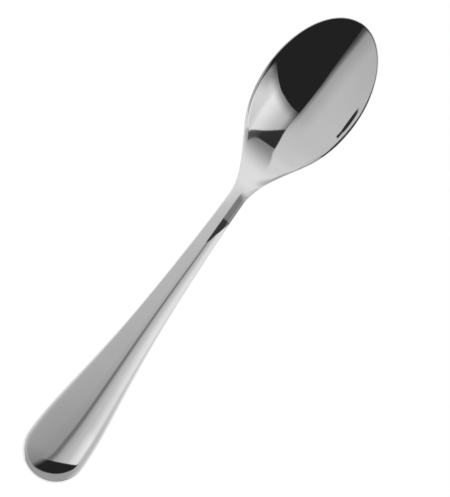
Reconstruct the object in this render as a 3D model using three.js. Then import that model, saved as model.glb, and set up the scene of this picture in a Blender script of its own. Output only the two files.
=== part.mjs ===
// Coffee spoon: a blank of stainless steel, pressed to a deep oval bowl, a thick arched neck and a
// crowned, tapering handle with a rounded border, then polished all over.
// Millimetres, +Z up. The spoon lies on its back on the plane z = 0, with the handle's end towards
// -X and the bowl towards +X. The origin is on that plane, under the middle of the length.
// Stations along the spoon are measured from the handle's end.
import * as THREE from 'three';
import { mergeVertices } from 'three/addons/utils/BufferGeometryUtils.js';

const { lerp, smootherstep } = THREE.MathUtils;

// Plan: lengths
const HANDLE_LENGTH = 84.5; // handle's end to the narrowest point of the neck
const NECK_TO_BOWL = 31.3; // narrowest point of the neck to the widest point of the bowl
const BOWL_FRONT = 21.2; // widest point of the bowl to its tip
const BOWL_REAR = 21.9; // widest point of the bowl to the back of its oval
const SHOULDER_SETBACK = 15; // widest point of the bowl back to the end of the shoulder's fillet
const GRIP_STATION = 24.5; // where the grip's width is taken
const SHANK_SETBACK = 40; // narrowest point of the neck back to where the shank's width is taken
const ROOT_SETBACK = 20.4; // narrowest point of the neck back to where the root's width is taken

// Plan: widths
const HANDLE_END_WIDTH = 16.3; // of the full round end
const GRIP_WIDTH = 13.4;
const SHANK_WIDTH = 8.7;
const ROOT_WIDTH = 6;
const NECK_WIDTH = 4.7;
const BOWL_WIDTH = 26.2;

// Side view: heights of the edge line above the table
const END_SLOPE = 0.15;
const SHANK_HEIGHT = 6.6;
const CREST_HEIGHT = 9.6;
const CREST_SETBACK = 14.5; // narrowest point of the neck back to the crest of the arch
const NECK_HEIGHT = 9.4;
const SHOULDER_HEIGHT = 7.05;
const TIP_LIFT = 1; // of the bowl's tip over its widest point
const TIP_SLOPE = 0.08;

// Sections: top above the edge line, underside below it
const HANDLE_RISE = 0.75;
const NECK_RISE = 0.6;
const RIM_RISE = 1.2;
const HANDLE_DROP = 0.85;
const NECK_DROP = 0.9;
const RIM_DROP = 0.25;
const HANDLE_CROWN = 0.9; // dome of the top between its borders
const NECK_CROWN = 0.55;
const BOWL_DEPTH = 6;
const HOLLOW_REAR = 30; // widest point of the bowl back to where the hollow runs out in the neck
const NECK_BELLY = 1.35; // extra thickness under the middle of the neck
const BOWL_BELLY = 0.2; // extra thickness under the middle of the bowl
const HANDLE_FLAT_DEPTH = 0.15; // worn off under the handle's end where it rests
const BOWL_FLAT_DEPTH = 0.15; // worn off under the bowl where it rests

// Edges: width of the rounded border along the outline
const HANDLE_BORDER = 1.5;
const NECK_BORDER = 0.4;
const RIM_BORDER = 1.2;

// Stations where one section passes into the next
const BORDER_STATION = 60; // where the handle's border has narrowed to the neck's
const THICKENING_STATION = 18; // where the handle starts to thicken towards the neck
const NECK_SECTION_SETBACK = 8; // narrowest point of the neck back to where its section is full
const BOWL_SECTION_RUN = 20; // narrowest point of the neck on to where the rim's section is full

// The three zones of the blank meet in flat cross sections
const NECK_ZONE_BACK = 22; // narrowest point of the neck back to the handle
const NECK_ZONE_AHEAD = 10; // narrowest point of the neck on to the bowl

// Facets
const HANDLE_STEP = 3;
const NECK_STEP = 2;
const BOWL_STEP = 1.4;
const END_FAN_STEPS = 10; // a quarter turn of the handle's end
const TIP_FAN_STEPS = 18; // a quarter turn of the bowl's front
const END_FAN_SPREAD = 0.5; // how far the end's ribs start from its centre, against its radius
const INNER_ROWS = 8; // from the centre line to the border
const BORDER_ROWS = [0.5, 0.2, 0.04, 0]; // shares of the border's width, inwards from the outline
const SLOPE_STEP = 0.01;

const NECK_AT = HANDLE_LENGTH;
const BOWL_AT = NECK_AT + NECK_TO_BOWL;
const LENGTH = BOWL_AT + BOWL_FRONT;
const SHOULDER_AT = BOWL_AT - SHOULDER_SETBACK;
const END_RADIUS = HANDLE_END_WIDTH / 2;
const BOWL_HALF = BOWL_WIDTH / 2;

/** Cubic spline through [x, y] knots with given slopes at its two ends, as a function of x. */
function splineThrough(knots, startSlope, endSlope) {
  const last = knots.length - 1;
  const gaps = knots.slice(1).map(([x], i) => x - knots[i][0]);
  const rises = gaps.map((gap, i) => (knots[i + 1][1] - knots[i][1]) / gap);
  const below = (i) => (i > 0 ? gaps[i - 1] : 0);
  const above = (i) => (i < last ? gaps[i] : 0);
  const bend = (i) => (i < last ? rises[i] : endSlope) - (i > 0 ? rises[i - 1] : startSlope);

  // Second derivatives at the knots, by forward elimination and back substitution
  const ratio = [];
  const curve = [];
  for (let i = 0; i <= last; i += 1) {
    const pivot = 2 * (below(i) + above(i)) - below(i) * (ratio[i - 1] ?? 0);
    ratio[i] = above(i) / pivot;
    curve[i] = (6 * bend(i) - below(i) * (curve[i - 1] ?? 0)) / pivot;
  }
  for (let i = last - 1; i >= 0; i -= 1) curve[i] -= ratio[i] * curve[i + 1];

  return (x) => {
    let i = 0;
    while (i < last - 1 && x > knots[i + 1][0]) i += 1;
    const a = (knots[i + 1][0] - x) / gaps[i];
    const b = 1 - a;
    const cubic = (a ** 3 - a) * curve[i] + (b ** 3 - b) * curve[i + 1];
    return a * knots[i][1] + b * knots[i + 1][1] + (cubic * gaps[i] ** 2) / 6;
  };
}

/** Rate of change of a function of x. */
function slopeOf(height, x) {
  return (height(x + SLOPE_STEP) - height(x - SLOPE_STEP)) / (2 * SLOPE_STEP);
}

// Outline

function roundEnd(x) {
  return Math.sqrt(Math.max(0, END_RADIUS ** 2 - (END_RADIUS - x) ** 2));
}

function oval(x) {
  const reach = x < BOWL_AT ? BOWL_REAR : BOWL_FRONT;
  return BOWL_HALF * Math.sqrt(Math.max(0, 1 - ((x - BOWL_AT) / reach) ** 2));
}

const taper = splineThrough(
  [
    [END_RADIUS, END_RADIUS],
    [GRIP_STATION, GRIP_WIDTH / 2],
    [NECK_AT - SHANK_SETBACK, SHANK_WIDTH / 2],
    [NECK_AT - ROOT_SETBACK, ROOT_WIDTH / 2],
    [NECK_AT, NECK_WIDTH / 2],
  ],
  0,
  0,
);

const shoulder = splineThrough(
  [
    [NECK_AT, NECK_WIDTH / 2],
    [SHOULDER_AT, oval(SHOULDER_AT)],
  ],
  0,
  slopeOf(oval, SHOULDER_AT),
);

function halfWidth(x) {
  if (x < END_RADIUS) return roundEnd(x);
  if (x < NECK_AT) return taper(x);
  return x < SHOULDER_AT ? shoulder(x) : oval(x);
}

// Side view

const endHeight = HANDLE_DROP - HANDLE_FLAT_DEPTH - END_SLOPE * HANDLE_BORDER;
const rimHeight = BOWL_DEPTH + BOWL_BELLY + RIM_DROP - BOWL_FLAT_DEPTH;

const edgeHeight = splineThrough(
  [
    [0, endHeight],
    [NECK_AT - SHANK_SETBACK, SHANK_HEIGHT],
    [NECK_AT - CREST_SETBACK, CREST_HEIGHT],
    [NECK_AT, NECK_HEIGHT],
    [SHOULDER_AT, SHOULDER_HEIGHT],
    [BOWL_AT, rimHeight],
    [LENGTH, rimHeight + TIP_LIFT],
  ],
  END_SLOPE,
  TIP_SLOPE,
);

// Sections

const toBowl = (x) => smootherstep(x, NECK_AT, NECK_AT + BOWL_SECTION_RUN);

/** Value that passes from the handle's through the neck's to the bowl's. */
function along(x, handle, neck, bowl) {
  const toNeck = smootherstep(x, THICKENING_STATION, NECK_AT - NECK_SECTION_SETBACK);
  return lerp(lerp(handle, neck, toNeck), bowl, toBowl(x));
}

function borderWidth(x) {
  const behind = lerp(HANDLE_BORDER, NECK_BORDER, smootherstep(x, 0, BORDER_STATION));
  return lerp(behind, RIM_BORDER, toBowl(x));
}

/** Depth of the bowl's hollow on the centre line, before it is rounded off at the front. */
function hollowDepth(x) {
  const back = THREE.MathUtils.clamp((BOWL_AT - x) / HOLLOW_REAR, 0, 1);
  return BOWL_DEPTH * (1 - back ** 2) ** 2;
}

/** 1 on the centre line, falling to 0 at the outline as a parabola across and at both ends. */
function dome(x, y) {
  const width = halfWidth(x);
  let reference = width;
  if (x < END_RADIUS) reference = END_RADIUS;
  if (x > BOWL_AT) reference = BOWL_HALF;
  return (width ** 2 - y ** 2) / reference ** 2;
}

/** Share of the border's height gained at an inset from the outline. */
function borderShare(x, inset) {
  const t = Math.min(inset / borderWidth(x), 1);
  return Math.sqrt(1 - (1 - t) ** 2);
}

function topHeight(x, y, inset) {
  const border = along(x, HANDLE_RISE, NECK_RISE, RIM_RISE) * borderShare(x, inset);
  const crown = along(x, HANDLE_CROWN, NECK_CROWN, 0) - hollowDepth(x);
  return edgeHeight(x) + border + crown * dome(x, y);
}

function underHeight(x, y, inset) {
  const border = along(x, HANDLE_DROP, NECK_DROP, RIM_DROP) * borderShare(x, inset);
  const belly = along(x, 0, NECK_BELLY, BOWL_BELLY) + hollowDepth(x);
  return Math.max(0, edgeHeight(x) - border - belly * dome(x, y));
}

// Ribs run from the centre line out to the outline. Each has the station of its foot, the point
// where it meets the outline, and its reach measured square to the outline.

function endRib(turn) {
  const foot = END_RADIUS * (1 - END_FAN_SPREAD * Math.cos(turn));
  const tip = new THREE.Vector2(END_RADIUS * (1 - Math.cos(turn)), END_RADIUS * Math.sin(turn));
  const reach = END_RADIUS * (1 - END_FAN_SPREAD * Math.cos(turn) ** 2);
  return { foot, tip, reach };
}

function straightRib(x) {
  const width = halfWidth(x);
  const reach = width / Math.hypot(1, slopeOf(halfWidth, x));
  return { foot: x, tip: new THREE.Vector2(x, width), reach };
}

function tipRib(turn) {
  const spread = (BOWL_FRONT ** 2 - BOWL_HALF ** 2) / BOWL_FRONT;
  const foot = BOWL_AT + spread * Math.cos(turn);
  const tip = new THREE.Vector2(BOWL_AT + BOWL_FRONT * Math.cos(turn), BOWL_HALF * Math.sin(turn));
  return { foot, tip, reach: Math.hypot(tip.x - foot, tip.y) };
}

/** Closed ring of the skin on a rib and its mirror image: a row of top points and one below it. */
function ringOn(rib) {
  const border = Math.min(borderWidth(rib.tip.x) / rib.reach, 1);
  const shares = [];
  for (let row = 0; row <= INNER_ROWS; row += 1) shares.push((1 - border) * (row / INNER_ROWS));
  for (const share of BORDER_ROWS) shares.push(1 - border * share);

  const half = shares.map((share) => {
    const x = lerp(rib.foot, rib.tip.x, share);
    const y = share === 1 ? rib.tip.y : rib.tip.y * share;
    const inset = rib.reach * (1 - share);
    return { x, y, top: topHeight(x, y, inset), under: underHeight(x, y, inset) };
  });
  const mirrored = half.slice(1).map((point) => ({ ...point, y: -point.y }));
  const across = [...half.reverse(), ...mirrored];
  const place = (point, z) => new THREE.Vector3(point.x - LENGTH / 2, point.y, z);
  return {
    top: across.map((point) => place(point, point.top)),
    under: across.map((point) => place(point, point.under)),
  };
}

/** Values from a start to an end in equal steps of about a given size, without the start. */
function stepsTo(start, end, size) {
  const count = Math.max(1, Math.round(Math.abs(end - start) / size));
  return Array.from({ length: count }, (_, i) => lerp(start, end, (i + 1) / count));
}

// Skin of a zone

function addTriangle(corners, a, b, c) {
  if (a.equals(b) || b.equals(c) || c.equals(a)) return;
  corners.push(a, b, c);
}

/** Four-sided facet, split along its shorter diagonal. */
function addFacet(corners, a, b, c, d) {
  if (a.distanceToSquared(c) <= b.distanceToSquared(d)) {
    addTriangle(corners, a, b, c);
    addTriangle(corners, a, c, d);
  } else {
    addTriangle(corners, a, b, d);
    addTriangle(corners, b, c, d);
  }
}

/** Flat cross section that closes a zone, facing +X or -X. */
function addSection(corners, ring, facesAhead) {
  for (let i = 0; i < ring.top.length - 1; i += 1) {
    const loop = [ring.top[i], ring.top[i + 1], ring.under[i + 1], ring.under[i]];
    if (!facesAhead) loop.reverse();
    addFacet(corners, ...loop);
  }
}

/** Loft through rings of the skin, closed by a cross section wherever it doesn't run to a point. */
function loft(rings) {
  const corners = [];
  for (let r = 0; r < rings.length - 1; r += 1) {
    const near = rings[r];
    const far = rings[r + 1];
    for (let i = 0; i < near.top.length - 1; i += 1) {
      addFacet(corners, near.top[i], near.top[i + 1], far.top[i + 1], far.top[i]);
      addFacet(corners, near.under[i], far.under[i], far.under[i + 1], near.under[i + 1]);
    }
  }
  const first = rings[0];
  const last = rings[rings.length - 1];
  if (first.top[0].y > 0) addSection(corners, first, false);
  if (last.top[0].y > 0) addSection(corners, last, true);

  const geometry = mergeVertices(new THREE.BufferGeometry().setFromPoints(corners));
  geometry.computeVertexNormals();
  return geometry;
}

function polishedSteel() {
  return new THREE.MeshStandardMaterial({ color: 0xc9c8c5, roughness: 0.12, metalness: 1 });
}

function zone(name, ribs) {
  const mesh = new THREE.Mesh(loft(ribs.map(ringOn)), polishedSteel());
  mesh.name = name;
  return mesh;
}

// Zones

const neckStart = NECK_AT - NECK_ZONE_BACK;
const bowlStart = NECK_AT + NECK_ZONE_AHEAD;
const quarterTurn = Math.PI / 2;

const handleRibs = [
  endRib(0),
  ...stepsTo(0, quarterTurn, quarterTurn / END_FAN_STEPS).map(endRib),
  ...stepsTo(END_RADIUS, neckStart, HANDLE_STEP).map(straightRib),
];

const neckRibs = [
  straightRib(neckStart),
  ...stepsTo(neckStart, bowlStart, NECK_STEP).map(straightRib),
];

const bowlRibs = [
  straightRib(bowlStart),
  ...stepsTo(bowlStart, BOWL_AT, BOWL_STEP).map(straightRib),
  ...stepsTo(quarterTurn, 0, quarterTurn / TIP_FAN_STEPS).map(tipRib),
];

const spoon = new THREE.Group();
spoon.add(zone('handle', handleRibs), zone('neck', neckRibs), zone('bowl', bowlRibs));

export default spoon;
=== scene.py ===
"""Coffee spoon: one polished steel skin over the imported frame, on a pale table."""

import logging
import math
from abc import ABC, abstractmethod
from dataclasses import dataclass, field
from enum import Enum
from typing import Callable, Mapping, Optional, Sequence, Union

import bpy
import numpy as np
from mathutils import Matrix, Vector

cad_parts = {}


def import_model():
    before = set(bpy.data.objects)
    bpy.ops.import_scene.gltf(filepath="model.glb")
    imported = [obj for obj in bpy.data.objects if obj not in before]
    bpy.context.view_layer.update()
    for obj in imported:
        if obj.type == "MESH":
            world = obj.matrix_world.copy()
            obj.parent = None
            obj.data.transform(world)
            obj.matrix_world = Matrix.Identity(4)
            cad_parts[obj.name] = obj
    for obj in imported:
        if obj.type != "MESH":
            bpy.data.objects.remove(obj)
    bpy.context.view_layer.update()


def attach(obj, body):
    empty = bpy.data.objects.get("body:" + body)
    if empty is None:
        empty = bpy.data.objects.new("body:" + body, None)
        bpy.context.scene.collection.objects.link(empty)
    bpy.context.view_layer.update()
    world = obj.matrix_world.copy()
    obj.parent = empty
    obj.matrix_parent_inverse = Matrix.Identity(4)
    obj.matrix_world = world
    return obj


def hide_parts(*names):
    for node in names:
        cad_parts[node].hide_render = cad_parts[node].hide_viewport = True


LOG = logging.getLogger("coffee_spoon")

MM = 0.001

Number = Union[float, "Value"]
Colour = tuple[float, float, float, float]
# Where a passage starts and ends, and then also its height
Span = tuple[float, float]
Step = tuple[float, float, float]
# Points in order
Curve = Sequence[tuple[float, float]]


class Face(Enum):
    """The two faces of the spoon's skin."""

    TOP = "top"
    UNDER = "under"


# Shader graphs


class Value:
    """A socket of a shader graph, on which plain arithmetic adds Math nodes."""

    def __init__(self, graph: "Graph", socket: Optional[bpy.types.NodeSocket]) -> None:
        """Wraps one socket.

        Args:
            graph: The graph that the socket belongs to.
            socket: The output socket that gives the value; none after a graph's last node.
        """
        self.graph = graph
        self.socket = socket

    def _math(self, operation: str, *values: Number) -> "Value":
        """Adds one Math node.

        Args:
            operation: Blender's name of the operation.
            values: What goes into the node, in order.

        Returns:
            The node's result.
        """
        inputs = dict(enumerate(values))
        return self.graph.node("ShaderNodeMath", {"operation": operation}, inputs)

    def __add__(self, other: Number) -> "Value":
        """self + other."""
        return self._math("ADD", self, other)

    def __radd__(self, other: Number) -> "Value":
        """other + self."""
        return self._math("ADD", other, self)

    def __sub__(self, other: Number) -> "Value":
        """self - other."""
        return self._math("SUBTRACT", self, other)

    def __rsub__(self, other: Number) -> "Value":
        """other - self."""
        return self._math("SUBTRACT", other, self)

    def __mul__(self, other: Number) -> "Value":
        """self * other."""
        return self._math("MULTIPLY", self, other)

    def __rmul__(self, other: Number) -> "Value":
        """other * self."""
        return self._math("MULTIPLY", other, self)

    def __truediv__(self, other: Number) -> "Value":
        """self / other."""
        return self._math("DIVIDE", self, other)

    def __rtruediv__(self, other: Number) -> "Value":
        """other / self."""
        return self._math("DIVIDE", other, self)

    def __neg__(self) -> "Value":
        """-self."""
        return self._math("MULTIPLY", self, -1.0)

    def __abs__(self) -> "Value":
        """The size of self, without its sign."""
        return self._math("ABSOLUTE", self)

    def root(self) -> "Value":
        """The square root of self."""
        return self._math("SQRT", self)

    def at_least(self, other: Number) -> "Value":
        """The larger of self and other."""
        return self._math("MAXIMUM", self, other)

    def at_most(self, other: Number) -> "Value":
        """The smaller of self and other."""
        return self._math("MINIMUM", self, other)

    def past(self, start: float, end: float, height: float = 1.0) -> "Value":
        """Passes smoothly from 0 at start to a height at end.

        Args:
            start: Where the passage starts.
            end: Where it ends; below start, it passes the other way.
            height: The value from there on.

        Returns:
            A value from 0 to the height.
        """
        low, high = min(start, end), max(start, end)
        rising = self.graph.node(
            "ShaderNodeMapRange",
            {"interpolation_type": "SMOOTHSTEP"},
            {"Value": self, "From Min": low, "From Max": high},
        )
        passed = rising if start < end else 1.0 - rising
        return passed if height == 1.0 else passed * height

    def ramp(self, stops: Curve) -> "Value":
        """Reads a curve through stops.

        Args:
            stops: Places and the values there, in order of place.

        Returns:
            The curve's value, level beyond the first and last stops.
        """
        first, last = stops[0][0], stops[-1][0]
        low = min(value for _, value in stops)
        high = max(value for _, value in stops)
        run, rise = last - first, high - low
        shares = [((at - first) / run, (value - low) / rise) for at, value in stops]
        place = (self - first) / run
        curve = self.graph.node("ShaderNodeValToRGB", {"stops": shares}, {"Fac": place})
        return curve * rise + low

    def mixed(self, other: Number, share: Number) -> "Value":
        """Passes from self to other.

        Args:
            other: The value at a share of 1.
            share: From 0 to 1.

        Returns:
            The mixed value.
        """
        return self + (other - self) * share


class Graph:
    """The nodes of one material or of the world."""

    def __init__(self, tree: bpy.types.NodeTree) -> None:
        """Empties a node tree.

        Args:
            tree: The tree to fill.
        """
        self.tree = tree
        tree.nodes.clear()

    def node(
        self,
        kind: str,
        settings: Optional[Mapping[str, object]] = None,
        inputs: Optional[Mapping[Union[int, str], object]] = None,
        output: Union[int, str] = 0,
    ) -> Value:
        """Adds a node of any kind.

        Args:
            kind: Blender's name of the node's type.
            settings: The node's own properties, set first.
            inputs: A number, colour or Value for each input socket, by name or place.
            output: The output socket that is wanted, by name or place.

        Returns:
            The wanted output, if the node has any.
        """
        made = self.tree.nodes.new(kind)
        for name, setting in (settings or {}).items():
            if name == "stops":
                self._set_stops(made.color_ramp, setting)
            else:
                setattr(made, name, setting)
        for name, value in (inputs or {}).items():
            if isinstance(value, Value):
                self.tree.links.new(value.socket, made.inputs[name])
            else:
                made.inputs[name].default_value = value
        return Value(self, made.outputs[output] if made.outputs else None)

    def split(self, vector: Value) -> tuple[Value, ...]:
        """The X, Y and Z of a vector."""
        kind = "ShaderNodeSeparateXYZ"
        return tuple(self.node(kind, inputs={0: vector}, output=axis) for axis in "XYZ")

    @staticmethod
    def _set_stops(ramp: bpy.types.ColorRamp, stops: Curve) -> None:
        """Gives a colour ramp its stops.

        Args:
            ramp: The ramp, with the two stops that Blender gives it.
            stops: Places from 0 to 1 and the grey values there.
        """
        ramp.interpolation = "CARDINAL"
        while len(ramp.elements) < len(stops):
            ramp.elements.new(1.0)
        for element, (at, value) in zip(ramp.elements, stops):
            element.position = at
            element.color = (value, value, value, 1.0)


# Finishes


def blank_material(name: str) -> tuple[bpy.types.Material, Graph]:
    """Makes a material that has no nodes yet.

    Args:
        name: The material's name.

    Returns:
        The material, and its graph to fill.
    """
    material = bpy.data.materials.new(name)
    material.use_nodes = True
    return material, Graph(material.node_tree)


@dataclass(frozen=True)
class PolishedSteel:
    """Stainless steel polished to a mirror, with the faint marks of buffing and of use."""

    name: str = "polished steel"
    bright: Colour = (0.80, 0.80, 0.798, 1.0)
    dull: Colour = (0.765, 0.765, 0.763, 1.0)
    dull_span: Span = (0.35, 0.7)
    roughness: float = 0.022
    smudge_size: float = 22 * MM
    smudge_detail: float = 3.0
    smudge_breakup: float = 0.55
    smudge: Step = (0.45, 0.75, 0.025)
    hairline_pitch: float = 0.25 * MM
    hairline_length: float = 14 * MM
    hairline_height: float = 0.002 * MM
    hairline_detail: float = 2.0
    hairline_breakup: float = 0.6
    hairline_strength: float = 0.25
    hairline_roughness: float = 0.015

    def material(self) -> bpy.types.Material:
        """Makes the material.

        Returns:
            A metal whose tone, gloss and hairlines vary over the piece.
        """
        material, graph = blank_material(self.name)
        place = graph.node("ShaderNodeTexCoord", output="Object")

        smudges = graph.node(
            "ShaderNodeTexNoise",
            inputs={
                "Vector": place,
                "Scale": 1 / self.smudge_size,
                "Detail": self.smudge_detail,
                "Roughness": self.smudge_breakup,
            },
        )
        per_metre = 1 / self.hairline_pitch
        along = graph.node(
            "ShaderNodeMapping",
            inputs={"Vector": place, "Scale": (1 / self.hairline_length, per_metre, per_metre)},
        )
        hairlines = graph.node(
            "ShaderNodeTexNoise",
            inputs={
                "Vector": along,
                "Scale": 1.0,
                "Detail": self.hairline_detail,
                "Roughness": self.hairline_breakup,
            },
        )
        tone = graph.node(
            "ShaderNodeMix",
            {"data_type": "RGBA"},
            {"Factor": smudges.past(*self.dull_span), "A": self.bright, "B": self.dull},
            output="Result",
        )
        relief = graph.node(
            "ShaderNodeBump",
            inputs={
                "Height": hairlines,
                "Strength": self.hairline_strength,
                "Distance": self.hairline_height,
            },
        )
        roughness = self.roughness + smudges.past(*self.smudge)
        steel = graph.node(
            "ShaderNodeBsdfPrincipled",
            inputs={
                "Base Color": tone,
                "Metallic": 1.0,
                "Roughness": roughness + hairlines * self.hairline_roughness,
                "Normal": relief,
            },
        )
        graph.node("ShaderNodeOutputMaterial", inputs={"Surface": steel})
        return material


@dataclass(frozen=True)
class PaleTable:
    """A white sweep that keeps a soft shadow of what lies on it."""

    name: str = "pale table"
    paint: Colour = (0.85, 0.85, 0.85, 1.0)
    shaded: Colour = (0.52, 0.52, 0.52, 1.0)
    white: float = 0.84

    def material(self) -> bpy.types.Material:
        """Makes the material.

        Returns:
            White to the eye and in mirrors, and a plain pale paint to all other light.
        """
        material, graph = blank_material(self.name)
        rays = ("Is Camera Ray", "Is Glossy Ray", "Is Transmission Ray")
        seen, mirrored, through = (graph.node("ShaderNodeLightPath", output=ray) for ray in rays)
        paint = graph.node("ShaderNodeBsdfDiffuse", inputs={"Color": self.paint})
        shaded = graph.node("ShaderNodeBsdfDiffuse", inputs={"Color": self.shaded})
        glow = graph.node("ShaderNodeEmission", inputs={"Strength": self.white})
        white = graph.node("ShaderNodeAddShader", inputs={0: shaded, 1: glow})
        share = (seen + mirrored + through).at_most(1.0)
        surface = graph.node("ShaderNodeMixShader", inputs={0: share, 1: paint, 2: white})
        graph.node("ShaderNodeOutputMaterial", inputs={"Surface": surface})
        return material


# The spoon's shape, in millimetres, with stations measured from the handle's end


class Spline:
    """Cubic spline through knots, with a given slope at each of its two ends."""

    def __init__(self, knots: Curve, start_slope: float, end_slope: float) -> None:
        """Finds the second derivative at each knot.

        Args:
            knots: The points to pass, as (x, y), in order of x.
            start_slope: The slope at the first knot.
            end_slope: The slope at the last knot.
        """
        self.x, self.y = np.array(knots, dtype=float).T
        gaps = np.diff(self.x)
        slopes = np.diff(self.y) / gaps
        count = len(self.x)
        matrix = np.zeros((count, count))
        for i, gap in enumerate(gaps):
            matrix[i : i + 2, i : i + 2] += np.array([[2 * gap, gap], [gap, 2 * gap]])
        bends = np.diff(np.concatenate([[start_slope], slopes, [end_slope]]))
        self.curve = np.linalg.solve(matrix, 6 * bends)

    def __call__(self, x: np.ndarray) -> np.ndarray:
        """The spline's height.

        Args:
            x: Where it is wanted.

        Returns:
            The heights there.
        """
        i = np.clip(np.searchsorted(self.x, x) - 1, 0, len(self.x) - 2)
        gap = self.x[i + 1] - self.x[i]
        a = (self.x[i + 1] - x) / gap
        b = 1 - a
        cubic = (a**3 - a) * self.curve[i] + (b**3 - b) * self.curve[i + 1]
        return a * self.y[i] + b * self.y[i + 1] + cubic * gap**2 / 6


def slope_of(height: Callable[[np.ndarray], np.ndarray], x: np.ndarray) -> np.ndarray:
    """Rate of change of a function.

    Args:
        height: The function.
        x: Where the rate is wanted.

    Returns:
        The rates there.
    """
    step = 0.01
    return (height(x + step) - height(x - step)) / (2 * step)


def passage(x: np.ndarray, start: float, end: float) -> np.ndarray:
    """Passes smoothly from 0 to 1, with level and uncurved ends.

    Args:
        x: Where the value is wanted.
        start: Where the passage starts.
        end: Where it ends.

    Returns:
        Values from 0 to 1.
    """
    t = np.clip((x - start) / (end - start), 0, 1)
    return t**3 * (t * (6 * t - 15) + 10)


@dataclass
class Outline:
    """The spoon seen from above."""

    handle_length: float = 84.5
    neck_to_bowl: float = 31.3
    bowl_front: float = 21.2
    bowl_rear: float = 21.9
    shoulder_setback: float = 15.0
    grip_station: float = 24.5
    shank_setback: float = 40.0
    root_setback: float = 20.4
    handle_end_width: float = 16.3
    grip_width: float = 13.4
    shank_width: float = 8.7
    root_width: float = 6.0
    neck_width: float = 4.7
    bowl_width: float = 26.2

    def __post_init__(self) -> None:
        """Lays the curves of the sides."""
        self.neck = self.handle_length
        self.bowl = self.neck + self.neck_to_bowl
        self.length = self.bowl + self.bowl_front
        self.shoulder = self.bowl - self.shoulder_setback
        self.end_radius = self.handle_end_width / 2
        self.bowl_half = self.bowl_width / 2
        self._taper = Spline(
            [
                (self.end_radius, self.end_radius),
                (self.grip_station, self.grip_width / 2),
                (self.neck - self.shank_setback, self.shank_width / 2),
                (self.neck - self.root_setback, self.root_width / 2),
                (self.neck, self.neck_width / 2),
            ],
            0.0,
            0.0,
        )
        at_shoulder = np.array(self.shoulder)
        self._fillet = Spline(
            [(self.neck, self.neck_width / 2), (self.shoulder, float(self._oval(at_shoulder)))],
            0.0,
            float(slope_of(self._oval, at_shoulder)),
        )

    def _oval(self, x: np.ndarray) -> np.ndarray:
        """Half width of the bowl's oval at stations x."""
        reach = np.where(x < self.bowl, self.bowl_rear, self.bowl_front)
        return self.bowl_half * np.sqrt(np.clip(1 - ((x - self.bowl) / reach) ** 2, 0, None))

    def half_width(self, x: np.ndarray) -> np.ndarray:
        """Half width of the spoon.

        Args:
            x: Stations along the spoon.

        Returns:
            The half widths there.
        """
        end = np.sqrt(np.clip(self.end_radius**2 - (self.end_radius - x) ** 2, 0, None))
        taper = self._taper(np.clip(x, self.end_radius, self.neck))
        fillet = self._fillet(np.clip(x, self.neck, self.shoulder))
        ahead = np.where(x < self.shoulder, fillet, self._oval(x))
        return np.where(x < self.end_radius, end, np.where(x < self.neck, taper, ahead))


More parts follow.
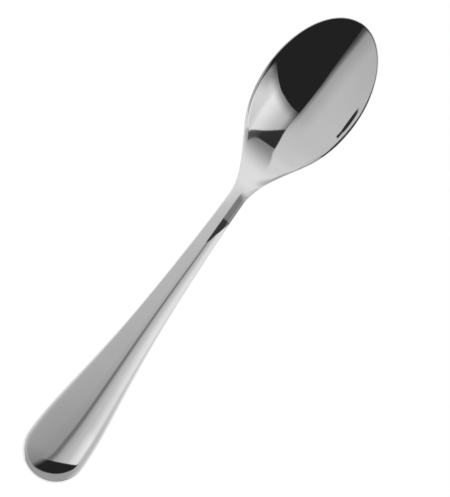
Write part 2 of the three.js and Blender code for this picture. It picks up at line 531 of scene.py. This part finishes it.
@dataclass
class Section:
    """The spoon cut across: how its top and underside stand off the edge line."""

    outline: Outline
    handle_rise: float = 0.75
    neck_rise: float = 0.6
    rim_rise: float = 1.2
    handle_drop: float = 0.85
    neck_drop: float = 0.9
    rim_drop: float = 0.25
    handle_crown: float = 0.9
    neck_crown: float = 0.55
    bowl_depth: float = 6.0
    hollow_rear: float = 30.0
    neck_belly: float = 1.35
    bowl_belly: float = 0.2
    handle_border: float = 1.5
    neck_border: float = 0.4
    rim_border: float = 1.2
    tip_border: float = 0.6
    tip_start: float = 1.5
    tip_run: float = 12.0
    border_station: float = 60.0
    thickening_station: float = 18.0
    neck_section_setback: float = 8.0
    bowl_section_run: float = 20.0

    def along(self, x: np.ndarray, handle: float, neck: float, bowl: float) -> np.ndarray:
        """A size that passes from the handle's through the neck's to the bowl's.

        Args:
            x: Stations along the spoon.
            handle: The size at the handle's end.
            neck: The size at the neck.
            bowl: The size at the bowl.

        Returns:
            The sizes at those stations.
        """
        full = self.outline.neck - self.neck_section_setback
        behind = handle + (neck - handle) * passage(x, self.thickening_station, full)
        return behind + (bowl - behind) * self._to_bowl(x)

    def _to_bowl(self, x: np.ndarray) -> np.ndarray:
        """Share of the passage from the neck's section to the bowl's, at stations x."""
        return passage(x, self.outline.neck, self.outline.neck + self.bowl_section_run)

    def border(self, x: np.ndarray) -> np.ndarray:
        """Width of the rounded border along the outline.

        Args:
            x: Stations along the spoon.

        Returns:
            The widths there.
        """
        narrowed = passage(x, 0.0, self.border_station)
        behind = self.handle_border + (self.neck_border - self.handle_border) * narrowed
        start = self.outline.bowl + self.tip_start
        fined = passage(x, start, start + self.tip_run)
        rim = self.rim_border + (self.tip_border - self.rim_border) * fined
        return behind + (rim - behind) * self._to_bowl(x)

    def _hollow(self, x: np.ndarray) -> np.ndarray:
        """Depth of the hollow on the centre line, before it is rounded off at the front."""
        back = np.clip((self.outline.bowl - x) / self.hollow_rear, 0, 1)
        return self.bowl_depth * (1 - back**2) ** 2

    def _dome(self, x: np.ndarray, y: np.ndarray) -> np.ndarray:
        """1 on the centre line and 0 at the outline, as a parabola across and at the ends."""
        width = self.outline.half_width(x)
        behind = np.where(x < self.outline.end_radius, self.outline.end_radius, width)
        reference = np.where(x > self.outline.bowl, self.outline.bowl_half, behind)
        return (width**2 - y**2) / reference**2

    def _share(self, x: np.ndarray, inset: np.ndarray) -> np.ndarray:
        """Share of the border's height that is gained at an inset from the outline.

        Args:
            x: Stations along the spoon.
            inset: Distances in from the outline.

        Returns:
            From 0 at the outline to 1 inside the border.
        """
        t = np.clip(inset / self.border(x), 0, 1)
        return np.sqrt(1 - (1 - t) ** 2)

    def top(self, x: np.ndarray, y: np.ndarray, inset: np.ndarray) -> np.ndarray:
        """Height of the top over the edge line.

        Args:
            x: Stations along the spoon.
            y: Distances from the centre line.
            inset: Distances in from the outline.

        Returns:
            The heights there.
        """
        border = self.along(x, self.handle_rise, self.neck_rise, self.rim_rise)
        crown = self.along(x, self.handle_crown, self.neck_crown, 0.0) - self._hollow(x)
        return border * self._share(x, inset) + crown * self._dome(x, y)

    def under(self, x: np.ndarray, y: np.ndarray, inset: np.ndarray) -> np.ndarray:
        """Height of the underside over the edge line.

        Args:
            x: Stations along the spoon.
            y: Distances from the centre line.
            inset: Distances in from the outline.

        Returns:
            The heights there, below zero.
        """
        border = self.along(x, self.handle_drop, self.neck_drop, self.rim_drop)
        belly = self.along(x, 0.0, self.neck_belly, self.bowl_belly) + self._hollow(x)
        return -border * self._share(x, inset) - belly * self._dome(x, y)


@dataclass
class SideProfile:
    """The spoon seen from the side: the height of its edge line over the table."""

    outline: Outline
    section: Section
    end_slope: float = 0.15
    shank_height: float = 6.6
    crest_height: float = 9.6
    crest_setback: float = 14.5
    neck_height: float = 9.4
    shoulder_height: float = 7.05
    tip_lift: float = 1.0
    tip_slope: float = 0.08
    handle_flat_depth: float = 0.15
    bowl_flat_depth: float = 0.15

    def __post_init__(self) -> None:
        """Lays the curve of the edge line."""
        plan, cut = self.outline, self.section
        end = cut.handle_drop - self.handle_flat_depth - self.end_slope * cut.handle_border
        rim = cut.bowl_depth + cut.bowl_belly + cut.rim_drop - self.bowl_flat_depth
        self.height = Spline(
            [
                (0.0, end),
                (plan.neck - plan.shank_setback, self.shank_height),
                (plan.neck - self.crest_setback, self.crest_height),
                (plan.neck, self.neck_height),
                (plan.shoulder, self.shoulder_height),
                (plan.bowl, rim),
                (plan.length, rim + self.tip_lift),
            ],
            self.end_slope,
            self.tip_slope,
        )


@dataclass
class Spoon:
    """The whole spoon as one unbroken skin."""

    steel: PolishedSteel
    outline: Outline = field(default_factory=Outline)
    end_ribs: int = 48
    straight_ribs: int = 230
    tip_ribs: int = 72
    inner_rows: int = 26
    border_rows: int = 12
    end_fan_spread: float = 0.5
    weld: float = 0.001 * MM

    def __post_init__(self) -> None:
        """Gathers the curves that shape the skin."""
        self.section = Section(self.outline)
        self.profile = SideProfile(self.outline, self.section)

    def _ribs(self) -> tuple[np.ndarray, np.ndarray, np.ndarray, np.ndarray]:
        """Lays ribs from the centre line to the outline, fanned out at both ends.

        Returns:
            For each rib: its foot's station, its tip's station, its tip's distance from the centre
            line, and its reach measured square to the outline.
        """
        plan = self.outline
        quarter = math.pi / 2

        turn = np.linspace(0, quarter, self.end_ribs, endpoint=False)
        spread = self.end_fan_spread * np.cos(turn)
        end = [
            plan.end_radius * (1 - spread),
            plan.end_radius * (1 - np.cos(turn)),
            plan.end_radius * np.sin(turn),
            plan.end_radius * (1 - spread * np.cos(turn)),
        ]

        x = np.linspace(plan.end_radius, plan.bowl, self.straight_ribs, endpoint=False)
        width = plan.half_width(x)
        straight = [x, x, width, width / np.hypot(1, slope_of(plan.half_width, x))]

        turn = np.linspace(quarter, 0, self.tip_ribs + 1)
        centres = (plan.bowl_front**2 - plan.bowl_half**2) / plan.bowl_front
        foot = plan.bowl + centres * np.cos(turn)
        tip_x = plan.bowl + plan.bowl_front * np.cos(turn)
        tip_y = plan.bowl_half * np.sin(turn)
        tip_y[-1] = 0.0
        tip = [foot, tip_x, tip_y, np.hypot(tip_x - foot, tip_y)]

        return tuple(np.concatenate(parts) for parts in zip(end, straight, tip))

    def _points(self, rib: np.ndarray, row: np.ndarray, face: Face) -> np.ndarray:
        """Places points on a face of the skin.

        Args:
            rib: Each point's rib, counted from the handle's end.
            row: Each point's row, counted from the centre line and below zero on the right.
            face: Which face.

        Returns:
            Places in metres, one to a line.
        """
        foot, tip_x, tip_y, reach = (values[rib] for values in self._ribs())
        border = np.minimum(self.section.border(tip_x) / reach, 1)
        inner = np.minimum(np.abs(row) / self.inner_rows, 1) * (1 - border)
        outer = np.clip((np.abs(row) - self.inner_rows) / self.border_rows, 0, 1)
        share = np.where(np.abs(row) <= self.inner_rows, inner, 1 - border * (1 - outer) ** 2)
        x = foot + (tip_x - foot) * share
        y = tip_y * share
        inset = reach * (1 - share)
        stand = self.section.top if face is Face.TOP else self.section.under
        z = np.clip(self.profile.height(x) + stand(x, y, inset), 0, None)
        return np.stack([x - self.outline.length / 2, y * np.sign(row), z], axis=1) * MM

    def _sheet(self, face: Face) -> bpy.types.Object:
        """Shapes a grid to one face of the skin.

        Args:
            face: Which face.

        Returns:
            An open sheet that ends at the outline.
        """
        ribs = self.end_ribs + self.straight_ribs + self.tip_ribs
        rows = self.inner_rows + self.border_rows
        bpy.ops.object.select_all(action="DESELECT")
        bpy.ops.mesh.primitive_grid_add(x_subdivisions=ribs, y_subdivisions=2 * rows, size=2)
        sheet = bpy.context.object
        sheet.name = f"spoon {face.value}"
        flat = np.empty(3 * len(sheet.data.vertices))
        sheet.data.vertices.foreach_get("co", flat)
        u, v = flat.reshape(-1, 3)[:, :2].T
        rib = np.rint((u + 1) / 2 * ribs).astype(int)
        row = np.rint(v * rows).astype(int)
        sheet.data.vertices.foreach_set("co", self._points(rib, row, face).ravel())
        sheet.data.update()
        return sheet

    def build(self) -> bpy.types.Object:
        """Joins the two faces along the outline and dresses the spoon.

        Returns:
            The finished skin, riding on the frame.
        """
        under = self._sheet(Face.UNDER)
        top = self._sheet(Face.TOP)
        under.select_set(True)
        bpy.context.view_layer.objects.active = top
        bpy.ops.object.join()
        bpy.ops.object.mode_set(mode="EDIT")
        bpy.ops.mesh.select_all(action="SELECT")
        bpy.ops.mesh.remove_doubles(threshold=self.weld)
        bpy.ops.mesh.normals_make_consistent(inside=False)
        bpy.ops.object.mode_set(mode="OBJECT")
        bpy.ops.object.shade_smooth()
        top.name = "spoon"
        top.data.name = "spoon"
        top.data.materials.clear()
        top.data.materials.append(self.steel.material())
        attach(top, "root")
        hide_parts("handle", "neck", "bowl")
        return top


# The studio


@dataclass
class Sweep:
    """A round pale table with an upright lip along its edge."""

    finish: PaleTable
    radius: float = 4.5
    lip: float = 0.5
    sides: int = 96

    def build(self) -> bpy.types.Object:
        """Makes the sweep.

        Returns:
            The table.
        """
        bpy.ops.object.select_all(action="DESELECT")
        bpy.ops.mesh.primitive_circle_add(vertices=self.sides, radius=self.radius, fill_type="NGON")
        sweep = bpy.context.object
        sweep.name = "table"
        bpy.ops.object.mode_set(mode="EDIT")
        bpy.ops.mesh.select_all(action="SELECT")
        bpy.ops.mesh.region_to_loop()
        bpy.ops.mesh.extrude_edges_move(TRANSFORM_OT_translate={"value": (0.0, 0.0, self.lip)})
        bpy.ops.object.mode_set(mode="OBJECT")
        sweep.data.materials.append(self.finish.material())
        return sweep


HALF_LENGTH = Outline().length / 2


@dataclass(frozen=True)
class CardGlow(ABC):
    """The glow of cards close above the spoon.

    Stations run along the spoon from the handle's end, and the rest is measured from its centre
    line to its right side, all in millimetres.
    """

    name: str

    @abstractmethod
    def tone(self, station: Value, right: Value) -> Value:
        """Lays out the greys.

        Args:
            station: How far along the spoon.
            right: How far from its centre line.

        Returns:
            The light that is given there.
        """

    def material(self) -> bpy.types.Material:
        """Makes the material.

        Returns:
            A glow in the greys that are laid out.
        """
        material, graph = blank_material(self.name)
        place = graph.node("ShaderNodeTexCoord", output="Object")
        x, y, _ = graph.split(place)
        tone = self.tone(x / MM + HALF_LENGTH, -y / MM)
        glow = graph.node("ShaderNodeEmission", inputs={"Color": tone, "Strength": 1.0})
        graph.node("ShaderNodeOutputMaterial", inputs={"Surface": glow})
        return material


@dataclass(frozen=True)
class SoftPanels(CardGlow):
    """One sheet with two grey panels, which meet in a seam over the spoon's ridge.

    A black card lies past the handle's end and a dark one over the right of the neck.
    """

    name: str = "soft panels"
    side: float = 0.82

    left: Curve = (
        (-10.0, 0.3), (0.0, 0.385), (20.0, 0.47), (68.0, 0.6), (84.0, 0.67), (90.0, 0.8),
        (96.0, 0.94), (106.0, 0.85),
    )
    left_slant: float = 0.28
    left_dip: Step = (-6.0, -2.0, 0.08)
    left_side_span: Span = (-5.0, -62.0)

    right: Curve = (
        (0.4, 0.2), (1.3, 0.42), (3.4, 0.6), (5.2, 0.655), (8.0, 0.82), (12.0, 0.94),
    )
    right_lifts: tuple[tuple[Span, Step], ...] = (
        ((24.0, 6.0), (5.0, 8.5, 0.15)),
        ((13.5, 8.5), (4.2, 5.8, 0.11)),
    )
    far_base: float = 0.59
    far_gain: float = 0.0037
    far_span: Span = (11.0, 14.5)
    right_side_span: Span = (22.0, 70.0)

    seam: Curve = (
        (-5.0, 0.0), (0.0, 0.8), (10.0, 1.85), (25.0, 2.1), (50.0, 1.5), (70.0, 1.9),
    )
    spread_base: float = 0.65
    spread_gain: float = 0.0175
    seam_span: Span = (-1.8, -0.1)
    crisp_stations: Span = (30.0, 8.0)
    crisp_shift: float = 0.3

    card_edge: Span = (-0.3, 0.3)
    end_black: float = 0.02
    end_centre_station: float = 5.4
    end_centre_right: float = -4.4
    end_rim: Span = (18.0, 19.2)
    end_station: float = -4.2
    end_slant: float = 0.48
    end_left_slant: float = 0.433
    end_left_span: Span = (-3.6, 0.7)

    around_end: float = 0.4
    around_stations: Span = (4.0, -4.0)
    around_slant: float = 0.5
    around_span: Span = (30.0, 8.0)
    around_lift: Step = (-30.0, -8.0, 0.25)
    around_lift_span: Span = (-10.0, -22.0)

    right_end_stations: Span = (87.4, 88.2)
    sheet_side: Span = (200.0, 120.0)
    shade: Step = (88.5, 92.0, 0.5)
    shade_span: Span = (4.0, 10.0)
    front_shade: Step = (92.5, 94.5, 0.05)
    front_shade_span: Span = (2.0, 3.4)

    neck_line: Curve = ((2.0, 70.6), (4.5, 73.3), (7.5, 76.0), (12.0, 78.6))
    neck_left_span: Span = (0.5, 1.2)
    neck_front_stations: Span = (90.0, 86.2)
    neck_black: float = 0.045
    neck_lift: Step = (78.6, 79.4, 0.19)
    streak_right: float = 9.1
    streak: Step = (1.7, 0.3, 0.14)
    neck_dips: tuple[Step, ...] = ((10.0, 12.0, 0.03), (12.0, 30.0, 0.17))
    neck_least: float = 0.03

    def tone(self, station: Value, right: Value) -> Value:
        """Lays out the panels, then what lies past the handle's end and over the neck.

        Args:
            station: How far along the spoon.
            right: How far from its centre line.

        Returns:
            The light that is given there.
        """
        along = (station + abs(right) * self.left_slant).ramp(self.left)
        tone = self._panels(station, right, along)
        tone = self._past_end(station, right, tone)
        return self._over_neck(station, right, tone, along)

    def _panels(self, station: Value, right: Value, along: Value) -> Value:
        """Joins the two panels along their seam.

        Args:
            station: How far along the spoon.
            right: How far from its centre line.
            along: The left panel's grey, before it is shaded.

        Returns:
            The light of the panels alone.
        """
        spread = right - station.ramp(self.seam)
        spread = spread * (station * self.spread_gain + self.spread_base)
        left_panel = along * (1.0 - spread.past(*self.left_dip))
        left_panel = left_panel.mixed(self.side, right.past(*self.left_side_span))
        right_panel = spread.ramp(self.right)
        for stations, lift in self.right_lifts:
            right_panel = right_panel + station.past(*stations) * spread.past(*lift)
        far = station * self.far_gain + self.far_base
        right_panel = right_panel.mixed(far, right.past(*self.far_span))
        right_panel = right_panel.mixed(self.side, right.past(*self.right_side_span))
        crisp = station.past(*self.crisp_stations)
        joint = spread * (crisp + 1.0) + crisp * self.crisp_shift
        return left_panel.mixed(right_panel, joint.past(*self.seam_span))

    def _past_end(self, station: Value, right: Value, tone: Value) -> Value:
        """Lays a black card, and a grey around it, past the handle's end.

        Args:
            station: How far along the spoon.
            right: How far from its centre line.
            tone: The light so far.

        Returns:
            The light with the card.
        """
        across = right - self.end_centre_right
        ahead = station - self.end_centre_station
        outside = (across * across + ahead * ahead).root().past(*self.end_rim)
        card = (right * self.end_slant + self.end_station - station).past(*self.card_edge)
        from_left = right - (station - self.end_station) * self.end_left_slant
        card = card * (1.0 - outside) * from_left.past(*self.end_left_span)
        tone = tone.mixed(self.end_black, card)
        around = (abs(right) + station * self.around_slant).past(*self.around_span)
        around = station.past(*self.around_stations) * around
        lift = right.past(*self.around_lift_span) * station.past(*self.around_lift)
        return tone.mixed(lift + self.around_end, around * outside)

    def _over_neck(self, station: Value, right: Value, tone: Value, along: Value) -> Value:
        """Ends the right panel at the neck, and lays a dark card over the neck's right.

        Args:
            station: How far along the spoon.
            right: How far from its centre line.
            tone: The light so far.
            along: The left panel's grey, which goes on ahead of the right panel.

        Returns:
            The light with the card.
        """
        within = right.past(*self.sheet_side)
        shade = right.past(*self.shade_span) * within * station.past(*self.shade)
        front = right.past(*self.front_shade_span) * station.past(*self.front_shade)
        shade = shade.at_least(front)
        tone = tone.mixed(along * (1.0 - shade), station.past(*self.right_end_stations))

        card = (station - right.ramp(self.neck_line)).past(*self.card_edge)
        card = right.past(*self.neck_left_span) * card
        card = card * station.past(*self.neck_front_stations) * within
        grey = station.past(*self.neck_lift) + self.neck_black
        grey = grey + abs(right - self.streak_right).past(*self.streak)
        for dip in self.neck_dips:
            grey = grey - right.past(*dip)
        return tone.mixed(grey.at_least(self.neck_least), card)


@dataclass(frozen=True)
class ShoulderCard(CardGlow):
    """A small card above the shoulder: a grey that darkens ahead, and a pale strip on its right."""

    name: str = "shoulder card"
    rear: float = 0.92
    front_dip: Step = (92.5, 105.5, 0.67)
    left_lift: Step = (100.6, 101.8, 0.25)
    left_span: Span = (-2.4, -4.0)

    corner_station: float = 104.75
    corner_right: float = -0.67
    corner_slant: float = 2.1
    corner_rear_span: Span = (-0.4, 0.4)
    corner_front_span: Span = (1.7, 1.2)
    corner_left_span: Span = (-2.9, -2.1)
    corner_shade: float = 0.66

    pale: float = 0.8
    pale_lift: Step = (98.0, 92.0, 0.1)
    pale_dip: Step = (100.0, 105.0, 0.08)

    seam_station: float = 98.0
    seam_right: float = 0.8
    seam_slant: float = 0.14
    seam_end_station: float = 105.22
    seam_end_slant: float = 0.046
    blur_station: float = 105.0
    blur_gain: float = 0.05
    blur_least: float = 0.04
    blur_span: Span = (-0.3, 0.65)

    edge_station: float = 91.4
    edge_right: float = 3.4
    edge_slant: float = 0.51
    edge_span: Span = (-2.2, 0.1)
    edge_front_stations: Span = (99.5, 95.5)
    edge_rear_least: float = 0.1
    edge_rear_rise: Step = (89.2, 92.2, 0.9)
    edge_shade: float = 0.46

    def tone(self, station: Value, right: Value) -> Value:
        """Lays the pale strip beside the grey, and shades the strip's far edge.

        Args:
            station: How far along the spoon.
            right: How far from its centre line.

        Returns:
            The light that is given there.
        """
        grey = self.rear - station.past(*self.front_dip)
        grey = grey + right.past(*self.left_span) * station.past(*self.left_lift)
        corner = station - self.corner_station - (right - self.corner_right) * self.corner_slant
        corner = corner.past(*self.corner_rear_span) * corner.past(*self.corner_front_span)
        corner = corner * right.past(*self.corner_left_span)
        grey = grey * (1.0 - corner * self.corner_shade)

        pale = self.pale + station.past(*self.pale_lift) - station.past(*self.pale_dip)
        seam = self.seam_right - (station - self.seam_station) * self.seam_slant
        seam = seam.at_least((self.seam_end_station - station) * self.seam_end_slant)
        blur = (self.blur_station - station) * self.blur_gain + self.blur_least
        tone = grey.mixed(pale, ((right - seam) / blur).past(*self.blur_span))

        edge = right - (self.edge_right + (station - self.edge_station) * self.edge_slant)
        edge = edge.past(*self.edge_span) * station.past(*self.edge_front_stations)
        edge = edge * (station.past(*self.edge_rear_rise) + self.edge_rear_least)
        return tone * (1.0 - edge * self.edge_shade)


@dataclass(frozen=True)
class RimCard(CardGlow):
    """A narrow card above one side of the bowl's rim, whose grey can fade out towards the tip."""

    grey: float
    fade_stations: Span

    def tone(self, station: Value, right: Value) -> Value:
        """The grey, faded along the rim and level across it."""
        return station.past(*self.fade_stations) * self.grey


@dataclass
class Overhead:
    """A flat sheet close above the spoon, that only the steel sees.

    Its height is over the table, and its corners are stations from the handle's end and distances
    to the spoon's right side, all in millimetres.
    """

    name: str
    finish: CardGlow
    height: float
    corners: Curve

    def build(self) -> bpy.types.Object:
        """Makes the sheet.

        Returns:
            The sheet.
        """
        bpy.ops.object.select_all(action="DESELECT")
        bpy.ops.mesh.primitive_circle_add(vertices=len(self.corners), fill_type="NGON")
        sheet = bpy.context.object
        sheet.name = self.name
        for vertex, (station, right) in zip(sheet.data.vertices, self.corners):
            vertex.co = Vector((station - HALF_LENGTH, -right, self.height)) * MM
        sheet.visible_camera = False
        sheet.visible_diffuse = False
        sheet.visible_shadow = False
        sheet.visible_transmission = False
        sheet.data.materials.append(self.finish.material())
        return sheet


PANELS_HEIGHT = 20.0
PANELS_CORNERS = (
    (-600.0, -400.0), (-600.0, 400.0), (95.0, 400.0), (101.0, 32.0), (107.0, 10.0), (109.0, 0.0),
    (107.0, -10.0), (101.0, -32.0), (95.0, -400.0),
)
SHOULDER_HEIGHT = 10.0
SHOULDER_CORNERS = (
    (89.2, -8.0), (89.2, 8.0), (100.0, 8.0), (104.75, 3.0), (104.75, -3.0), (100.0, -8.0),
)
RIM_HEIGHT = 9.0
LEFT_RIM_CORNERS = (
    (104.0, -11.3), (107.0, -11.9), (110.0, -12.4), (113.0, -12.8), (117.5, -13.2), (117.5, -10.5),
    (113.0, -10.3), (109.5, -10.25), (106.5, -9.7), (104.0, -9.3),
)
RIGHT_RIM_CORNERS = (
    (107.5, 10.6), (110.0, 10.3), (112.0, 10.5), (114.0, 10.8), (116.0, 11.3), (119.5, 12.6),
    (119.5, 12.9), (113.0, 13.2), (110.0, 12.6), (107.5, 12.0),
)


@dataclass(frozen=True)
class Surroundings:
    """The room that the bowl sees: grey on the left, and pale over black on the right.

    It is laid out on a chart of the sky, with the point overhead at its origin and the horizon at
    radius 1. One axis runs ahead, towards the bowl, and the other to the spoon's right side.
    """

    name: str = "surroundings"

    corner: Curve = (
        (-0.6, -0.116), (-0.416, -0.091), (-0.249, -0.063), (-0.065, -0.048), (0.065, -0.037),
        (0.21, -0.019), (0.34, -0.002), (0.4, -0.019), (0.469, -0.048),
    )
    corner_edge: Span = (0.006, -0.006)
    lip_ahead: float = -0.09
    lip_slant: float = 0.12
    lip_share: float = 0.2

    left: float = 0.61
    left_gain: float = 0.14
    left_lift: Step = (0.38, 0.48, 0.05)
    shade_least: float = 0.25
    shade_lift: Step = (-0.12, 0.08, 0.12)
    shade_near: float = 0.5
    shade_near_span: Span = (0.0, 0.09)
    shade_far: Step = (0.05, 0.35, 0.25)
    shade_end_ahead: Span = (0.15, 0.4)
    crease_least: float = 0.64
    crease_rise: Step = (-0.004, 0.006, 0.36)

    sliver: float = 0.03
    sliver_line: Curve = (
        (-0.1, -0.782), (-0.06, -0.774), (0.0, -0.77), (0.08, -0.768), (0.14, -0.769),
        (0.19, -0.75),
    )
    sliver_edge: Span = (-0.004, 0.004)
    sliver_left_span: Span = (-0.85, -0.82)
    sliver_front_ahead: Span = (0.19, 0.178)
    sliver_rear_ahead: Span = (-0.11, -0.09)

    black: float = 0.019
    black_ahead: float = 0.2
    black_slant: float = 0.01
    black_bend: float = 0.345
    black_dent: Step = (0.48, 0.3, 0.009)
    black_edge: Span = (0.003, -0.003)
    rear_lift: Step = (-0.68, -0.74, 0.4)

    pale_least: float = 0.3
    pale_rise: Step = (-0.01, 0.1, 0.7)
    rise_least: float = 0.2
    rise_near: Step = (-0.03, 0.14, 0.4)
    rise_far: Step = (0.1, 0.52, 0.4)
    side: float = 0.8
    side_lift: Step = (0.59, 0.49, 0.2)
    dusk: float = 0.75
    dusk_gain: float = 3.0
    dusk_span: Span = (0.55, 0.75)
    dusk_lift: Step = (0.11, 0.05, 0.13)
    front: float = 1.02
    front_dip: Step = (0.3, 0.45, 0.06)
    horizon: float = 0.05
    horizon_span: Span = (0.82, 0.86)

    band: float = 0.035
    band_lift: Step = (0.28, 0.42, 0.045)
    band_ahead: float = 0.341
    band_slant: float = 0.286
    band_bend: float = 0.017
    band_drop: float = 0.22
    band_drop_right: float = 0.4
    band_edge: Span = (-0.001, 0.001)

    def _left_wall(self, ahead: Value, right: Value, inside: Value) -> Value:
        """Lays out the grey wall, shaded towards the corner, with a black sliver low on its left.

        Args:
            ahead: How far ahead on the chart.
            right: How far to the right on it.
            inside: The distance from the corner into this wall.

        Returns:
            The light of the wall.
        """
        wall = ahead * self.left_gain + self.left + ahead.past(*self.left_lift)
        lift = ahead.past(*self.shade_lift)
        near = inside.past(*self.shade_near_span) * (self.shade_near - lift)
        shade = near + inside.past(*self.shade_far) + lift + self.shade_least
        shade = shade * (inside.past(*self.crease_rise) + self.crease_least)
        wall = wall * shade.mixed(1.0, ahead.past(*self.shade_end_ahead))
        sliver = (ahead.ramp(self.sliver_line) - right).past(*self.sliver_edge)
        sliver = sliver * right.past(*self.sliver_left_span)
        sliver = sliver * ahead.past(*self.sliver_front_ahead) * ahead.past(*self.sliver_rear_ahead)
        return wall.mixed(self.sliver, sliver)

    def _pale(self, ahead: Value, right: Value, above: Value) -> Value:
        """Lays out the pale part of the right wall, with a dark band along its front.

        Args:
            ahead: How far ahead on the chart.
            right: How far to the right on it.
            above: The distance ahead of the black.

        Returns:
            The light of that part.
        """
        rise = right.past(*self.rise_near) + right.past(*self.rise_far) + self.rise_least
        dusk = (self.dusk - ahead * self.dusk_gain).at_least(0.0) - ahead.past(*self.dusk_lift)
        fall = self.side - right.past(*self.dusk_span) * dusk + right.past(*self.side_lift)
        pale = (above.past(*self.pale_rise) + self.pale_least) * rise * fall
        pale = pale * (self.front - ahead.past(*self.front_dip))
        pale = pale.mixed(self.horizon, right.past(*self.horizon_span))
        drop = (right - self.band_drop_right).at_least(0.0)
        line = self.band_ahead + right * self.band_slant + right * right * self.band_bend
        line = line - drop * drop * self.band_drop
        band = right.past(*self.band_lift) + self.band
        return pale.mixed(band, (ahead - line).past(*self.band_edge))

    def _right_wall(self, ahead: Value, right: Value) -> Value:
        """Lays the black under the pale part of the right wall.

        Args:
            ahead: How far ahead on the chart.
            right: How far to the right on it.

        Returns:
            The light of the wall.
        """
        line = self.black_ahead + right * self.black_slant - right * right * self.black_bend
        above = ahead - line + right.past(*self.black_dent)
        black = self.black + ahead.past(*self.rear_lift)
        return self._pale(ahead, right, above).mixed(black, above.past(*self.black_edge))

    def build(self) -> bpy.types.World:
        """Makes the world.

        Returns:
            The world, set in the scene.
        """
        world = bpy.data.worlds.new(self.name)
        bpy.context.scene.world = world
        world.use_nodes = True
        graph = Graph(world.node_tree)
        direction = graph.node("ShaderNodeTexCoord", output="Generated")
        x, y, z = graph.split(direction)
        ahead = x / (z + 1.0)
        right = -y / (z + 1.0)

        corner = ahead.ramp(self.corner)
        lip = (self.lip_ahead - ahead).at_least(0.0) * self.lip_slant
        left_wall = self._left_wall(ahead, right, corner + lip * self.lip_share - right)
        right_wall = self._right_wall(ahead, right)
        light = left_wall.mixed(right_wall, (corner + lip - right).past(*self.corner_edge))
        glow = graph.node("ShaderNodeBackground", inputs={"Color": light, "Strength": 1.0})
        graph.node("ShaderNodeOutputWorld", inputs={"Surface": glow})
        return world


@dataclass
class Lens:
    """The camera, straight above the spoon, with the spoon running up to the right."""

    height: float = 1.0
    edge_height: float = 7.5 * MM
    frame_height: int = 497
    pixel: float = 0.24424 * MM
    axis_angle: float = math.radians(54.21)
    centre: tuple[float, float] = (4.21 * MM, -4.86 * MM)
    sensor: float = 36.0

    def build(self) -> bpy.types.Object:
        """Makes the camera and sets it in the scene.

        Returns:
            The camera.
        """
        lens = bpy.data.cameras.new("camera")
        camera = bpy.data.objects.new("camera", lens)
        bpy.context.scene.collection.objects.link(camera)
        lens.sensor_width = self.sensor
        frame = self.frame_height * self.pixel
        lens.lens = self.sensor * (self.height - self.edge_height) / frame
        right = Vector((math.cos(self.axis_angle), -math.sin(self.axis_angle), 0.0))
        up = Vector((math.sin(self.axis_angle), math.cos(self.axis_angle), 0.0))
        turned = Matrix((right, up, Vector((0.0, 0.0, 1.0)))).transposed()
        camera.rotation_euler = turned.to_euler()
        camera.location = (*self.centre, self.height)
        bpy.context.scene.camera = camera
        return camera


def main() -> None:
    """Loads the frame, builds the spoon and its studio, and notes the sizes."""
    logging.basicConfig(level=logging.INFO, format="%(name)s: %(message)s")
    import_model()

    spoon = Spoon(PolishedSteel()).build()
    LOG.info("%s: %d faces", spoon.name, len(spoon.data.polygons))
    sweep = Sweep(PaleTable()).build()
    LOG.info("%s: %.1f m across", sweep.name, sweep.dimensions.x)
    left_rim = RimCard("left rim card", grey=0.45, fade_stations=(117.5, 111.5))
    right_rim = RimCard("right rim card", grey=0.1, fade_stations=(126.0, 120.0))
    for overhead in (
        Overhead("panels", SoftPanels(), PANELS_HEIGHT, PANELS_CORNERS),
        Overhead("shoulder_card", ShoulderCard(), SHOULDER_HEIGHT, SHOULDER_CORNERS),
        Overhead("left_rim_card", left_rim, RIM_HEIGHT, LEFT_RIM_CORNERS),
        Overhead("right_rim_card", right_rim, RIM_HEIGHT, RIGHT_RIM_CORNERS),
    ):
        sheet = overhead.build()
        LOG.info("%s: %.0f mm wide", sheet.name, sheet.dimensions.y / MM)
    LOG.info("%s", Surroundings().build().name)
    LOG.info("camera: lens %.0f mm", Lens().build().data.lens)
    bpy.context.scene.view_settings.view_transform = "Standard"


if __name__ == "__main__":
    main()
